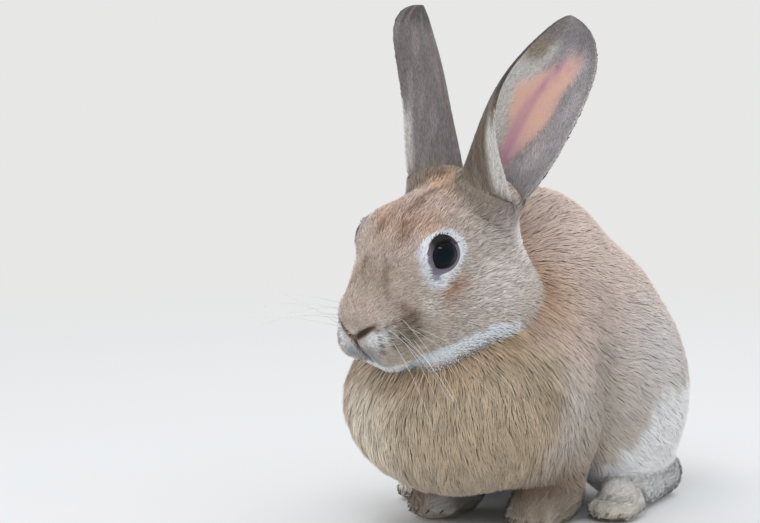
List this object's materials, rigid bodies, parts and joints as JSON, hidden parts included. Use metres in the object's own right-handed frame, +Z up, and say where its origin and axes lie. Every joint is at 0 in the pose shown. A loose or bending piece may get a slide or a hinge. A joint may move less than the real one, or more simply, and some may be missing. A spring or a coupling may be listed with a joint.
{
  "type": "rabbit",
  "caption": "Life-size rabbit resting on all four feet, head turned aside and ears upright, with a short dense fawn coat.",
  "frame": {"origin": "on the floor, under the middle of the animal's bounding box", "axes": "+Z up, -Y the way the body faces, +X the animal's left"},
  "size_m": [0.1608, 0.3144, 0.3059],
  "materials": {
    "coat": "dense fur, fawn ticked with brown, cream below",
    "eye": "wet and glossy",
    "claw": "horn"
  },
  "bodies": {
    "root": {"claw_fore_left_1": "claw", "claw_fore_left_2": "claw", "claw_fore_left_3": "claw", "claw_fore_left_4": "claw", "claw_fore_right_1": "claw", "claw_fore_right_2": "claw", "claw_fore_right_3": "claw", "claw_fore_right_4": "claw", "claw_hind_left_1": "claw", "claw_hind_left_2": "claw", "claw_hind_left_3": "claw", "claw_hind_left_4": "claw", "claw_hind_right_1": "claw", "claw_hind_right_2": "claw", "claw_hind_right_3": "claw", "claw_hind_right_4": "claw", "ear_left": "coat", "ear_right": "coat", "eye_left": "eye", "eye_right": "eye", "foreleg_left": "coat", "foreleg_right": "coat", "forepaw_left": "coat", "forepaw_right": "coat", "head": "coat", "hind_foot_left": "coat", "hind_foot_right": "coat", "neck": "coat", "tail": "coat", "thigh_left": "coat", "thigh_right": "coat", "trunk": "coat"}
  },
  "joints": []
}
